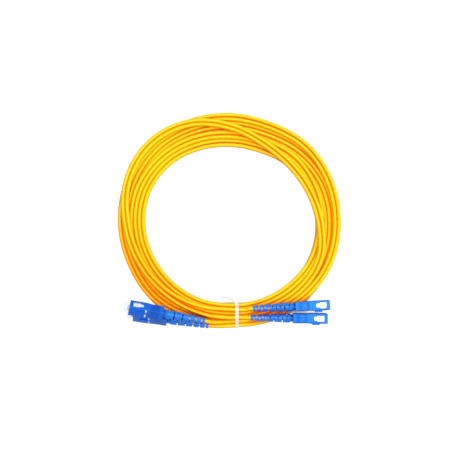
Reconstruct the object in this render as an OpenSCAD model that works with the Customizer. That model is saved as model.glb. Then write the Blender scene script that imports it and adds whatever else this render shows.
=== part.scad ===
// Duplex fibre optic patch cord: two leads wound together in one flat coil, a push-pull
// plug with a slotted boot on each of the four ends, and a wire tie round the coil.
// Millimetres. +Z is up, z = 0 is the surface that it lies on, and +X runs from the left
// pair of plugs to the right pair. The origin lies midway among the four plugs.

/* [Leads] */
// Outside diameter of a lead's jacket
jacket_d = 3; // [2.8:0.1:3]
// Height from one layer of the coil to the next
layer_rise = 3.5; // [3.5:0.1:3.7]
// Facets round a lead
lead_sides = 6; // [6:2:8]

/* [Plug sleeve] */
// Length of the coupling sleeve
sleeve_l = 25.2; // [25:0.1:25.4]
// Size across the two key faces
sleeve_w = 7.4; // [7.3:0.1:7.5]
// Size across the two window faces
sleeve_h = 9; // [8.9:0.1:9.1]
// How far the sleeve pulls back to let go of the adapter
sleeve_travel = 2; // [1:0.1:2]
// Depth of the finger grip in each window face
grip_depth = 0.35; // [0.1:0.05:0.4]
// How far the key stands out of its face
key_height = 1.1; // [0.8:0.1:1.1]

/* [Ferrule] */
// Diameter of the ceramic ferrule
ferrule_d = 2.5; // [2.5:0.1:2.5]
// How far the ferrule gives way against its spring
ferrule_travel = 1; // [0.5:0.1:1.2]
// Diameter of the spring's wire
spring_wire = 0.4; // [0.3:0.05:0.45]
// Turns of the spring
spring_turns = 4; // [3:1:4]

/* [Boot] */
// Boot diameter where the lead comes out
boot_end_d = 4.3; // [4.1:0.1:4.5]
// Boot diameter behind the sleeve
boot_front_d = 6.8; // [6.4:0.1:6.8]
// Slots cut in the boot, from alternate sides
boot_slots = 10; // [8:1:10]
// Width of one slot
slot_w = 0.95; // [0.8:0.05:1.1]

/* [Dust cap] */
// Size of the cap's head, square
cap_head = 6.2; // [5.6:0.1:6.4]
// How far the cap stands out of the sleeve
cap_out = 4.6; // [4:0.1:5]

/* [Tie] */
// Width of the tie's ribbon
tie_w = 2.4; // [2:0.1:2.8]
// Thickness of the tie's ribbon
tie_t = 0.45; // [0.3:0.05:0.45]

/* [Hidden] */
// Each plug: name, middle of the sleeve's front [x, y, z], heading, pitch and roll of its axis.
A1 = ["a1", [73.5, -3.7, 11], -0.5, 0, 0];
B1 = ["b1", [75.1, 6.1, 11.3], 2.7, 0, -6];
A2 = ["a2", [-69.4, -1.2, 5.8], 171.5, 0, -145];
B2 = ["b2", [-71.1, 4.9, 18], 169, 8, -132];
PLUGS = [A1, B1, A2, B2];
CAPPED = [A2, B2];
PLUG_PARTS = [
    "sleeve", "plug_frame", "ferrule", "ferrule_collar", "spring", "back_body", "crimp_sleeve", "boot"
];

$fn = 48;

// Middle of the coil, which everything that is wound goes by.
coil_x = 2.1;
coil_y = 66.5;
// Loops that each lead makes, and rings along one loop.
loops = 6;
rings_per_loop = 24;
// Height of the lowest layer's centreline. A tenth of the lead is cut flat below it.
flat_cut = jacket_d / 10;
first_layer_z = jacket_d / 2 - flat_cut;
// Sixteen stations round the coil, 22.5 degrees apart from its lowest point by way of the left
// side. Radius of the innermost strand of the lower and the upper layer, and the strands' step.
lower_r = [61.1, 62.7, 64.9, 64.6, 65.3, 65.9, 65.7, 63.1, 61.6, 60.9, 63.6, 66.0, 66.5, 66.5, 65.2, 63.3];
upper_r = [61.1, 62.0, 62.8, 64.2, 65.8, 66.3, 64.7, 62.1, 60.4, 60.5, 63.0, 63.8, 64.2, 64.5, 62.8, 61.8];
strand_step = [
    3, 3.05, 3.05, 3.05, 3.05, 3.05, 3.05, 3.2, 3.2, 3.2, 3.2, 3.1, 3, 3, 3.05, 3.05
];
// The first loop of each lead lies over the others and crosses them.
over_a = [70.2, 70.5, 71.5, 74.2, 77.9, 83.2, 84.7, 80.9, 72.6, 65.5, 63.3, 64.5, 68.1, 72.9, 72.9, 71.3];
over_b = [63.9, 65.7, 68.3, 71.0, 74.8, 80.1, 81.6, 77.8, 69.5, 62.4, 60.2, 61.4, 65.0, 69.8, 69.8, 68.2];
// The tie holds the coil here, in degrees round the coil, and lifts it by its own thickness.
tie_angle = 274.7;
tie_lift = 0.9;
tie_reach = 14;

// Radius of the ferrule's pressed end.
shank_r = ferrule_d / 2 - 0.25;

// Places along a plug's axis, from the sleeve's front backwards.
frame_front = -0.6;
window_front = -2.4;
boss_front = window_front - sleeve_travel - 0.4;
seat_x = -7.2;
collar_rear = -14.6;
spring_front = -10.95;
spring_rear = -15.45;
frame_rear = -19;
neck_rear = -28.5;
crimp_rear = -32.5;
boot_front = -27.5;
boot_rear = -56.2;

// ---------------------------------------------------------------- helpers

function unit(v) = v / norm(v);
function smooth(u) = let(c = max(0, min(1, u))) c * c * (3 - 2 * c);
function lerp(a, b, u) = a + (b - a) * u;

// A closed row of values round the coil, read at turn t with a smooth curve through them.
function round_row(row, t) =
    let(
        n = len(row),
        x = (t - floor(t)) * n,
        i = floor(x),
        u = x - i,
        a = row[(i + n - 1) % n],
        b = row[i % n],
        c = row[(i + 1) % n],
        d = row[(i + 2) % n]
    )
    b + u * ((c - a) + u * ((2 * a - 5 * b + 4 * c - d) + u * (3 * b - a - 3 * c + d))) / 2;

// A point of a plug's axis, x along it from the sleeve's front, and the way that it points.
function plug_dir(p) = [cos(p[2]) * cos(p[3]), sin(p[2]) * cos(p[3]), sin(p[3])];
function on_axis(p, x) = p[1] + x * plug_dir(p);

// Rings of n points round a route, each square to it, with the first point towards up.
function route_dir(route, i) =
    let(last = len(route) - 1)
    unit(
        (i > 0 ? unit(route[i] - route[i - 1]) : [0, 0, 0])
        + (i < last ? unit(route[i + 1] - route[i]) : [0, 0, 0])
    );
function tube_ring(route, i, r, n, up) =
    let(
        d = route_dir(route, i),
        side = unit(cross(d, up)),
        top = cross(side, d)
    )
    [for (k = [0:n - 1]) route[i] + r * (cos(360 * k / n) * top + sin(360 * k / n) * side)];

// Triangles over m rings of n points, and over the two ends.
function skin_faces(m, n) = concat(
    [for (i = [0:m - 2]) for (k = [0:n - 1]) [i * n + k, i * n + (k + 1) % n, (i + 1) * n + k]],
    [for (i = [0:m - 2]) for (k = [0:n - 1])
        [i * n + (k + 1) % n, (i + 1) * n + (k + 1) % n, (i + 1) * n + k]],
    [for (k = [1:n - 2]) [0, k + 1, k]],
    [for (k = [1:n - 2]) [(m - 1) * n, (m - 1) * n + k, (m - 1) * n + k + 1]]
);
module tube(route, r, n, up = [0, 0, 1]) {
    rings = [for (i = [0:len(route) - 1]) tube_ring(route, i, r, n, up)];
    polyhedron([for (ring = rings) each ring], skin_faces(len(route), n), convexity = 10);
}

// Length of a route, and the least gap between stretches of it that are not neighbours.
function route_length(route) =
    let(steps = [for (i = [1:len(route) - 1]) norm(route[i] - route[i - 1])])
    steps * [for (s = steps) 1];
function point_gap(q, a, b) =
    let(u = max(0, min(1, (q - a) * (b - a) / ((b - a) * (b - a))))) norm(q - a - u * (b - a));
function least_gap(route, d, skip) =
    min([for (i = [0:len(route) - 2 - skip]) for (j = [i + skip:len(route) - 2])
        min(
            point_gap(route[i], route[j], route[j + 1]),
            point_gap(route[j], route[i], route[i + 1])
        )]) - d;

// A rectangle with round corners, exact arcs.
module round_rect(w, h, r) {
    square([w - 2 * r, h], center = true);
    square([w, h - 2 * r], center = true);
    for (x = [-1, 1], y = [-1, 1])
        translate([x * (w / 2 - r), y * (h / 2 - r)]) circle(r);
}
// A bar along X from x0 to x1 of the child's outline, drawn in Y and Z.
module bar_x(x0, x1) {
    translate([x0, 0, 0]) rotate([90, 0, 90]) linear_extrude(x1 - x0) children();
}
// A turned piece along X: its outline is drawn as [x, radius].
module turned_x(outline) {
    rotate([0, 90, 0]) rotate_extrude() polygon([for (q = outline) [q[1], q[0]]]);
}
module bore_x(x0, x1, d) {
    translate([x0, 0, 0]) rotate([0, 90, 0]) cylinder(d = d, h = x1 - x0);
}
module at_plug(p) {
    translate(p[1]) rotate([0, 0, p[2]]) rotate([0, -p[3], 0]) rotate([p[4], 0, 0]) children();
}

// ---------------------------------------------------------------- the two leads

// Lane of a strand in its layer after t loops: in through the upper layer, out through the
// lower one, and in again on the last half turn. Lead B keeps one lane inside lead A.
function lane(t) = t < 2.5 ? 5 - 2 * t : t < 5.5 ? 2 * (t - 2.5) : 6 - 2 * (t - 5.5);
// Layer of a strand: 3 on the crossing loop, 2 above, 1 below. It changes in half a turn.
function layer(t) =
    t < 1 ? 3 - smooth((t - 0.79) / 0.11)
    : t < 4 ? 2 - smooth((t - 2.25) / 0.5)
    : 1 + smooth((t - 5.25) / 0.5);
function lane_r(t, n) =
    lerp(round_row(lower_r, t), round_row(upper_r, t), min(1, layer(t) - 1)) + n * round_row(strand_step, t);
function strand_r(t, over, inside) =
    t >= 1 ? lane_r(t, lane(t) - inside)
    : lerp(round_row(over, t), lane_r(t, lane(t) - inside), smooth((t - 0.85) / 0.08));
function lift(t) = let(a = 360 * (t - round(t)) + tie_angle - 270) tie_lift * exp(-pow(a / tie_reach, 2));
function coil_point(t, over, inside) =
    let(r = strand_r(t, over, inside), a = 270 - 360 * t)
    [
        coil_x + r * cos(a),
        coil_y + r * sin(a),
        first_layer_z + layer_rise * (layer(t) - 1) + lift(t)
    ];
function coil(over, inside) =
    [for (k = [1:loops * rings_per_loop - 1]) coil_point(k / rings_per_loop, over, inside)];

// The straight run of a lead inside its plug, and one jacket diameter past the boot.
function plug_run(p) = [
    on_axis(p, neck_rear),
    on_axis(p, -36),
    on_axis(p, -43),
    on_axis(p, -50),
    on_axis(p, boot_rear),
    on_axis(p, boot_rear - jacket_d)
];
function backwards(row) = [for (i = [len(row) - 1:-1:0]) row[i]];

// Free stretches between the boots and the coil.
from_a1 = [[8, -3.1, 10], [2.1, -3.4, 9.3]];
from_b1 = [[14, 2.6, 10.7], [8, 2.6, 10], [2.1, 2.7, 9.3]];
to_a2 = [[2.1, -9.75, 5.5], [-5, -10, 5.4], [-11, -9.9, 5.7]];
to_b2 = [[2.1, -6.7, 5.6], [-5, -6.9, 6.4], [-11, -6.8, 8.1]];

function lead_route(first, start, over, inside, end, last) =
    concat(plug_run(first), start, coil(over, inside), end, backwards(plug_run(last)));
route_a = lead_route(A1, from_a1, over_a, 0, to_a2, A2);
route_b = lead_route(B1, from_b1, over_b, 1, to_b2, B2);

module lead(name, route) {
    skip = 6;
    echo(str(
        name, ": ", len(route), " rings, ", route_length(route), " mm long, least gap to itself ",
        least_gap(route, jacket_d, skip), " mm"
    ));
    color([1, 0.82, 0.1])
        intersection() {
            tube(route, jacket_d / 2, lead_sides);
            translate([-120, -60, 0]) cube([240, 240, 40]);
        }
}
module lead_a() { lead("lead_a", route_a); }
module lead_b() { lead("lead_b", route_b); }

// ---------------------------------------------------------------- one plug, +X forwards

// The coupling sleeve: a square tube with a window in both wide-apart faces for the
// adapter's hooks, a key on one side, a finger grip, and a step down to its rear half.
module sleeve_window() {
    wide = 2.3;
    narrow = 1.55;
    polygon([
        [window_front, -wide], [window_front, wide], [-7.2, wide], [-8.1, narrow], [-9.5, narrow], [-10.1, 1],
        [-10.1, -1], [-9.5, -narrow], [-8.1, -narrow], [-7.2, -wide]
    ]);
}
module sleeve_plan() {
    w = sleeve_w / 2;
    rear = w - 0.2;
    polygon([
        [-sleeve_l, -rear + 0.3], [-sleeve_l + 0.3, -rear], [-13.6, -rear], [-12.8, -w], [-0.8, -w],
        [-0.23, -w + 0.23], [0, -w + 0.8], [0, w - 0.8], [-0.23, w - 0.23], [-0.8, w],
        [-12.8, w], [-13.6, rear], [-sleeve_l + 0.3, rear], [-sleeve_l, rear - 0.3]
    ]);
}
module sleeve_side() {
    h = sleeve_h / 2;
    grip = h - grip_depth;
    polygon([
        [-sleeve_l, -h + 0.5], [-sleeve_l + 0.3, -h + 0.2], [-22, -h + 0.2], [-21.4, -grip],
        [-16, -grip], [-15.2, -h], [-0.4, -h], [0, -h + 0.4],
        [0, h - 0.4], [-0.4, h], [-15.2, h], [-16, grip],
        [-21.4, grip], [-22, h - 0.2], [-sleeve_l + 0.3, h - 0.2], [-sleeve_l, h - 0.5]
    ]);
}
module sleeve_key() {
    translate([0, -sleeve_w / 2 - key_height, 0]) rotate([-90, 0, 0]) linear_extrude(key_height + 0.4) {
        translate([-8.9, 0]) square([4.2, 4], center = true);
        translate([-6.8, 0]) intersection() {
            circle(2);
            translate([0, -2]) square([1.2, 4]);
        }
    }
}
module sleeve() {
    color([0.2, 0.5, 0.95]) difference() {
        union() {
            intersection() {
                bar_x(-sleeve_l, 0) round_rect(sleeve_w, sleeve_h, 0.5);
                translate([0, 0, -sleeve_h]) linear_extrude(2 * sleeve_h) sleeve_plan();
                translate([0, sleeve_w, 0]) rotate([90, 0, 0]) linear_extrude(2 * sleeve_w) sleeve_side();
            }
            sleeve_key();
        }
        bar_x(-sleeve_l - 1, 1) round_rect(5.8, 7.2, 0.3);
        translate([0, 0, -sleeve_h]) linear_extrude(2 * sleeve_h) sleeve_window();
    }
}

// The white plug frame: its mouth takes the adapter's split sleeve round the ferrule, its
// bosses lie in the sleeve's windows, and its rear chamber holds the collar and the spring.
module latch_boss() {
    rotate([90, 0, 0]) linear_extrude(3.4, center = true)
        polygon([[-7.6, 3], [-7.6, 4.2], [boss_front - 1.4, 4.2], [boss_front, 3.4], [boss_front, 3]]);
}
module plug_frame() {
    color("white") difference() {
        union() {
            intersection() {
                bar_x(frame_rear, frame_front) round_rect(5.4, 6.8, 0.4);
                translate([0, 0, -5]) linear_extrude(10) polygon([
                    [frame_rear, -2.7], [frame_front - 0.5, -2.7], [frame_front, -2.45],
                    [frame_front, 2.45], [frame_front - 0.5, 2.7], [frame_rear, 2.7]
                ]);
            }
            latch_boss();
            mirror([0, 0, 1]) latch_boss();
        }
        bore_x(-6.6, frame_front + 1, 4.6);
        bore_x(seat_x - 1, -6, 2.8);
        bore_x(frame_rear - 1, seat_x, 4.4);
        // holes that the back body's teeth snap into
        translate([-17.4, -5, -1]) cube([1.5, 10, 2]);
    }
}

// The ceramic ferrule, with its polished end and chamfer, pressed into the metal collar.
module ferrule() {
    r = ferrule_d / 2;
    color([0.96, 0.96, 0.93])
        turned_x([
            [-10.2, 0], [-10.2, shank_r], [-6.3, shank_r], [-6.2, r], [0, r], [0.3, r - 0.35], [0.4, 0.3],
            [0.4, 0]
        ]);
}
module ferrule_collar() {
    color([0.75, 0.76, 0.78]) difference() {
        turned_x([
            [collar_rear, 0], [collar_rear, 0.95], [-10.9, 0.95], [-10.9, 2.05], [-8.2, 2.05],
            [seat_x - 0.1, 1.5], [seat_x - 0.1, 0]
        ]);
        bore_x(-10.2, 0, 2 * shank_r);
        bore_x(-16, -9, 1.2);
        // two flats that stop it from turning
        for (side = [-1, 1]) translate([-9.6, side * 2.3, 0]) cube([3, 1, 6], center = true);
    }
}

// The compression spring behind the collar.
module spring() {
    rings_per_turn = 8;
    n = spring_turns * rings_per_turn;
    r = 1.65;
    length = spring_front - spring_rear - spring_wire - 2 * 0.05;
    wind = [for (k = [0:n])
        [
            spring_rear + 0.05 + spring_wire / 2 + length * k / n,
            r * cos(360 * k / rings_per_turn),
            r * sin(360 * k / rings_per_turn)
        ]];
    color("silver") tube(wind, spring_wire / 2, 6, [1, 0, 0]);
}

// The back body: a spigot with two teeth in the frame's chamber, a shoulder against the
// frame, and a grooved neck that the crimp sleeve closes on. The fibre runs through it.
module back_body() {
    color([0.15, 0.35, 0.8]) difference() {
        union() {
            turned_x([
                [neck_rear, 0], [neck_rear, 1.8], [-24.5, 1.8], [-24.5, 2.1], [frame_rear - 1, 2.1],
                [frame_rear - 1, 2.15], [spring_rear - 0.3, 2.15], [spring_rear, 1.9], [spring_rear, 0]
            ]);
            bar_x(frame_rear - 1.6, frame_rear - 0.02) round_rect(5.4, 6.2, 0.4);
            for (side = [-1, 1]) translate([-16.65, side * 2.2, 0]) cube([1.3, 0.7, 1.8], center = true);
        }
        bore_x(neck_rear - 1, spring_rear + 1, 1.4);
        for (k = [0:3]) translate([-27.9 + 0.9 * k, 0, 0]) rotate([0, 90, 0]) difference() {
            cylinder(r = 3, h = 0.35);
            cylinder(r = 1.6, h = 0.35);
        }
        bore_x(collar_rear - ferrule_travel - 0.4, spring_rear + 1, 2.4);
    }
}

// The metal sleeve crimped on the neck in front and on the jacket behind.
module crimp_sleeve() {
    color([0.8, 0.8, 0.82]) difference() {
        turned_x([
            [crimp_rear, 0], [crimp_rear, 1.9], [-29.3, 1.9], [-28.8, 2.3], [-24.6, 2.3], [-24.6, 0]
        ]);
        bore_x(-28.6, -24, 3.7);
        bore_x(crimp_rear - 1, -28, 3.1);
    }
}

// The boot: a soft taper with a rounded shoulder, cut from alternate sides so that it bends.
function slot_x(k) = boot_rear + 1.9 + k * (1.95 + 0.081 * k);
module boot() {
    r1 = boot_end_d / 2;
    r2 = boot_front_d / 2;
    color([0.2, 0.6, 1]) difference() {
        turned_x([
            [boot_rear, 0], [boot_rear, r1 - 0.2], [boot_rear + 0.2, r1], [-30.2, r2], [-28.8, r2 - 0.1],
            [-28, r2 - 0.4], [boot_front, 2.75], [-25.6, 2.6], [-25.6, 0]
        ]);
        bore_x(-33, -25, 4.8);
        bore_x(boot_rear - 1, -32, jacket_d + 0.2);
        for (k = [0:boot_slots - 1]) translate([slot_x(k), k % 2 == 0 ? -6.6 : -0.6, -5])
            cube([slot_w, 7.2, 10]);
    }
}

// The dust cap: a tube over the ferrule and a square head with round corners. The head stands
// clear of the sleeve's front when the ferrule gives way.
module dust_cap() {
    head_rear = ferrule_travel + 0.1;
    color([0.85, 0.92, 0.98, 0.8]) difference() {
        union() {
            bore_x(-4.5, head_rear + 0.4, 4);
            bar_x(head_rear, cap_out - 0.6) round_rect(cap_head, cap_head, 1.2);
            bar_x(cap_out - 0.7, cap_out) round_rect(cap_head - 0.8, cap_head - 0.8, 1);
        }
        bore_x(-5, 0.6, ferrule_d + 0.06);
        bore_x(0.5, 2.6, 1.6);
    }
}

// ---------------------------------------------------------------- the tie

// Where a route passes under the tie, which crosses the near side of the coil at tie_x.
tie_x = 7.1;
function crossings(route, x) = [
    for (i = [1:len(route) - 1])
        let(a = route[i - 1], b = route[i])
        if ((a[0] - x) * (b[0] - x) < 0 && a[1] < coil_y) a + (b - a) * (x - a[0]) / (b[0] - a[0])
];
// The outline round every strand in the band, drawn in Y and Z.
module bundle(r) {
    hull() {
        for (route = [route_a, route_b], edge = [-1, 1], q = crossings(route, tie_x + edge * tie_w / 2))
            translate([q[1], q[2]]) circle(r, $fn = 24);
    }
}
// Where the two ends are twisted together and lie off to the left.
tie_twist = [
    [7.1, 7.4, 4.4], [6.9, 8.3, 4.2], [6.3, 9.1, 3.9], [5.3, 9.9, 3.5], [4.1, 10.5, 3.1], [2.7, 10.9, 2.7],
    [1.2, 11.2, 2.3], [-0.4, 11.4, 1.9], [-2.2, 11.7, 1.5], [-4, 12.1, 1.2]
];
// A ring of a ribbon that is turned by angle a about its route, offset to one face.
function ribbon_ring(route, i, w, t, a, out) =
    let(
        d = route_dir(route, i),
        side = unit(cross(d, [0, 0, 1])),
        top = cross(side, d),
        across = cos(a) * side + sin(a) * top,
        face = cross(d, across)
    )
    [for (q = [[1, 1], [1, -1], [-1, -1], [-1, 1]])
        route[i] + q[0] * w / 2 * across + (out + q[1] * t / 2) * face];
module ribbon(route, w, t, turn, out) {
    m = len(route);
    rings = [for (i = [0:m - 1]) ribbon_ring(route, i, w, t, turn * i / (m - 1), out)];
    polyhedron([for (ring = rings) each ring], skin_faces(m, 4), convexity = 4);
}
module twist_tie() {
    color("white") {
        translate([tie_x - tie_w / 2, 0, 0]) rotate([90, 0, 90]) linear_extrude(tie_w) difference() {
            bundle(jacket_d / 2 + 0.1 + tie_t);
            bundle(jacket_d / 2 + 0.1);
        }
        ribbon(tie_twist, 1.2, 0.4, 270, 0.2);
    }
}

// ---------------------------------------------------------------- every node

lead_a();
lead_b();
twist_tie();
for (p = PLUGS) {
    at_plug(p) sleeve();
    at_plug(p) plug_frame();
    at_plug(p) ferrule();
    at_plug(p) ferrule_collar();
    at_plug(p) spring();
    at_plug(p) back_body();
    at_plug(p) crimp_sleeve();
    at_plug(p) boot();
}
for (p = CAPPED) {
    at_plug(p) dust_cap();
}
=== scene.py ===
# %% [markdown]
# # A duplex fibre optic patch cord
#
# Two yellow leads are wound together into a flat coil. Each end of each lead has a blue push-pull
# plug with a soft, slotted boot, and a white wire tie holds the coil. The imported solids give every
# size and place. This script gives each piece its finer form, its finish and its light.

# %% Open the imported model
import math

import bmesh
import bpy
from mathutils import Matrix, Vector
from mathutils.geometry import convex_hull_2d
from mathutils.kdtree import KDTree


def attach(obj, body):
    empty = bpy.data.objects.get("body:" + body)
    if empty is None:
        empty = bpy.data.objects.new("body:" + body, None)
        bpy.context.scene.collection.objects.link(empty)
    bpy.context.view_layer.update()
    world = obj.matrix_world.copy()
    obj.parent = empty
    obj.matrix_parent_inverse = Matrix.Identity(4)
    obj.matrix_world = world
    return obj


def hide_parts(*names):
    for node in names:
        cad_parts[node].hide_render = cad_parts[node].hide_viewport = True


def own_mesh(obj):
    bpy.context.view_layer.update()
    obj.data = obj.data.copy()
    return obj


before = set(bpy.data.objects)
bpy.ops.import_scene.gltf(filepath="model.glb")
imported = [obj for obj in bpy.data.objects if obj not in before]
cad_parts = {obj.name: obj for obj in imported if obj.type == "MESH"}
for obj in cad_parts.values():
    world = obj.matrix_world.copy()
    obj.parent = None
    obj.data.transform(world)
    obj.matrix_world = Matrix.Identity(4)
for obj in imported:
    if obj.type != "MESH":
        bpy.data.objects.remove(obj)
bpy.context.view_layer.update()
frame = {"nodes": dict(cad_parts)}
nodes = frame["nodes"]
MM = 0.001

# %% [markdown]
# ## The camera
#
# The cord lies flat, and it is looked at from straight above, as on a catalogue page. A long lens
# keeps the plugs' sides out of sight. The camera's height and its field of view together set how
# much of the table is seen.

# %% Camera
# all in millimetres
VIEW_MIDDLE = (1.34, 61.9)
VIEW_HEIGHT = 700
VIEW_WIDTH = 341.7
SENSOR = 36

camera_data = bpy.data.cameras.new("camera")
camera_data.sensor_width = SENSOR
camera_data.lens = SENSOR * VIEW_HEIGHT / VIEW_WIDTH
camera = bpy.data.objects.new("camera", camera_data)
camera.location = (VIEW_MIDDLE[0] * MM, VIEW_MIDDLE[1] * MM, VIEW_HEIGHT * MM)
bpy.context.scene.collection.objects.link(camera)
bpy.context.scene.camera = camera
print("lens", round(camera_data.lens, 1), "mm")

# %% [markdown]
# ## Where each plug lies
#
# A plug is modelled once, along the X axis, with the middle of its sleeve's front at zero and its
# boot behind it at negative X. A matrix then carries it to its place: it is rolled about its own
# axis, pitched up, turned to its heading and moved.

# %% The four plugs
# name: middle of the sleeve's front, then heading, pitch and roll in degrees
PLUGS = {
    "a1": ((73.5, -3.7, 11.0), -0.5, 0.0, 0.0),
    "b1": ((75.1, 6.1, 11.3), 2.7, 0.0, -6.0),
    "a2": ((-69.4, -1.2, 5.8), 171.5, 0.0, -145.0),
    "b2": ((-71.1, 4.9, 18.0), 169.0, 8.0, -132.0),
}


def plug_matrix(name):
    """Carries a plug from the X axis, in millimetres, to its place in metres."""
    place, heading, pitch, roll = PLUGS[name]
    turn = (
        Matrix.Rotation(math.radians(heading), 4, "Z")
        @ Matrix.Rotation(math.radians(-pitch), 4, "Y")
        @ Matrix.Rotation(math.radians(roll), 4, "X")
    )
    return Matrix.Scale(MM, 4) @ Matrix.Translation(place) @ turn


def on_axis(name, x):
    """A point of a plug's axis, in millimetres."""
    return (plug_matrix(name) @ Vector((x, 0, 0))) / MM


for name in PLUGS:
    print(name, "front at", [round(v, 1) for v in on_axis(name, 0)])

# %% [markdown]
# ## The two leads
#
# Each lead is one smooth line, six loops long. The loops lie in lanes side by side: a lead spirals
# in through the upper layer, drops a layer at the top of the coil, spirals out through the lower
# one and climbs back on the last half turn. Its very first loop lies over all the others and
# crosses them. Lead B keeps one lane inside lead A, as the two halves of a duplex cord do. A rope
# could be simulated until it settles, but a formula puts every strand where it is wanted.
#
# Packing is never a perfect circle, so the innermost strand's radius and the step between strands
# are given at sixteen stations round the coil, and a smooth closed curve is drawn through them.

# %% Rows of values round the coil
COIL_MIDDLE = (2.1, 66.5)
LOOPS = 6
LOWER_R = [
    61.1, 62.7, 64.9, 64.6, 65.3, 65.9, 65.7, 63.1,
    61.6, 60.9, 63.6, 66.0, 66.5, 66.5, 65.2, 63.3,
]
UPPER_R = [
    61.1, 62.0, 62.8, 64.2, 65.8, 66.3, 64.7, 62.1,
    60.4, 60.5, 63.0, 63.8, 64.2, 64.5, 62.8, 61.8,
]
STRAND_STEP = [
    3, 3.05, 3.05, 3.05, 3.05, 3.05, 3.05, 3.2,
    3.2, 3.2, 3.2, 3.1, 3, 3, 3.05, 3.05,
]
OVER_A = [
    70.2, 70.5, 71.5, 74.2, 77.9, 83.2, 84.7, 80.9,
    72.6, 65.5, 63.3, 64.5, 68.1, 72.9, 72.9, 71.3,
]
OVER_B = [
    63.9, 65.7, 68.3, 71.0, 74.8, 80.1, 81.6, 77.8,
    69.5, 62.4, 60.2, 61.4, 65.0, 69.8, 69.8, 68.2,
]


def clamp(u):
    return max(0.0, min(1.0, u))


def smooth(u):
    """Rises from 0 to 1 with soft ends."""
    c = clamp(u)
    return c * c * (3 - 2 * c)


def lerp(a, b, u):
    return a + (b - a) * u


def between(a, b, c, d, u):
    """A smooth curve through four values or points, at u of the way from b to c."""
    slope = c - a
    bend = 2 * a - 5 * b + 4 * c - d
    twist = 3 * b - a - 3 * c + d
    return b + u * (slope + u * (bend + u * twist)) / 2


def round_row(row, t):
    """Reads a closed row of values at turn t."""
    n = len(row)
    x = (t - math.floor(t)) * n
    i = int(x)
    return between(*(row[(i + k) % n] for k in (-1, 0, 1, 2)), x - i)


print("lower layer a third of the way round:", round(round_row(LOWER_R, 1 / 3), 2), "mm")

# %% Lane, layer and place of a strand after t turns
JACKET_D = 3.0
FIRST_LAYER_Z = 1.5
LAYER_RISE = 3.2
# the turns at which a lead is farthest in and farthest out
INNERMOST, OUTERMOST = 2.5, 5.5
# the turn at which each change starts, and how many turns it takes
LEAVE_TOP = (0.79, 0.11)
JOIN_LANES = (0.85, 0.08)
GO_DOWN = (2.25, 0.5)
COME_UP = (5.25, 0.5)
# in degrees
START_ANGLE = 270
TIE_ANGLE = 274.7
TIE_REACH = 14
TIE_LIFT = 0.7


def part_done(t, change):
    """How far a change is done after t turns, from 0 before it to 1 after it."""
    start, length = change
    return smooth((t - start) / length)


def lane(t):
    """How many jackets a strand lies outside the innermost one."""
    if t < OUTERMOST:
        return 2 * abs(t - INNERMOST)
    return 2 * (OUTERMOST - INNERMOST) - 2 * (t - OUTERMOST)


def layer(t):
    """1 in the lower layer, 2 in the upper one and 3 on the loop that lies over them."""
    if t < 1:
        return 3 - part_done(t, LEAVE_TOP)
    if t < COME_UP[0]:
        return 2 - part_done(t, GO_DOWN)
    return 1 + part_done(t, COME_UP)


def strand_r(t, over, inside):
    """The radius of a strand: its lane's, or on the first loop its own way over the lanes."""
    own = lerp(round_row(LOWER_R, t), round_row(UPPER_R, t), min(1, layer(t) - 1))
    r = own + (lane(t) - inside) * round_row(STRAND_STEP, t)
    return r if t >= 1 else lerp(round_row(over, t), r, part_done(t, JOIN_LANES))


def lift(t):
    """How much the strands rise where they pass under the tie."""
    a = 360 * (t - round(t)) + TIE_ANGLE - START_ANGLE
    return TIE_LIFT * math.exp(-((a / TIE_REACH) ** 2))


def coil_point(t, over, inside):
    r = strand_r(t, over, inside)
    a = math.radians(START_ANGLE - 360 * t)
    z = FIRST_LAYER_Z + LAYER_RISE * (layer(t) - 1) + lift(t)
    return Vector((COIL_MIDDLE[0] + r * math.cos(a), COIL_MIDDLE[1] + r * math.sin(a), z))


print("lead A starts its coil at", [round(v, 1) for v in coil_point(0, OVER_A, 0)])

# %% The whole line of each lead
NECK_REAR = -28.5
BOOT_REAR = -56.2
ALONG_PLUG = (NECK_REAR, -36, -43, -50, BOOT_REAR, BOOT_REAR - JACKET_D)
POINTS_PER_LOOP = 96
# the coil's own line starts and stops a few points short of whole loops
COIL_STEPS = range(3, LOOPS * POINTS_PER_LOOP - 2)
STEPS_BETWEEN = 6
# points given on the way from a plug to the coil, and from the coil to a plug
FROM_A1 = [(8, -3.1, 10), (2.1, -3.4, 9.3)]
FROM_B1 = [(14, 2.6, 10.7), (8, 2.6, 10), (2.1, 2.7, 9.3)]
TO_A2 = [(2.1, -9.75, 5.5), (-5, -10, 5.4), (-11, -9.9, 5.7)]
TO_B2 = [(2.1, -6.7, 5.6), (-5, -6.9, 6.4), (-11, -6.8, 8.1)]


def plug_run(name):
    return [on_axis(name, x) for x in ALONG_PLUG]


def smooth_line(points, steps):
    """A smooth line through given points, with a few steps between each two."""
    padded = [points[0], *points, points[-1]]
    line = []
    for four in zip(padded, padded[1:], padded[2:], padded[3:]):
        line += [between(*four, k / steps) for k in range(steps)]
    return line + [points[-1]]


def lead_line(first, start, over, inside, end, last):
    """From the first plug round the coil to the last. The ends share two points with the coil."""
    coil = [coil_point(k / POINTS_PER_LOOP, over, inside) for k in COIL_STEPS]
    head = plug_run(first) + [Vector(p) for p in start] + coil[:2]
    tail = coil[-2:] + [Vector(p) for p in end] + plug_run(last)[::-1]
    return smooth_line(head, STEPS_BETWEEN)[:-1] + coil[2:-2] + smooth_line(tail, STEPS_BETWEEN)


lines = {
    "lead_a": lead_line("a1", FROM_A1, OVER_A, 0, TO_A2, "a2"),
    "lead_b": lead_line("b1", FROM_B1, OVER_B, 1, TO_B2, "b2"),
}


def line_length(line):
    return sum((b - a).length for a, b in zip(line, line[1:]))


for name, line in lines.items():
    print(name, len(line), "points,", round(line_length(line)), "mm")
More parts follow.
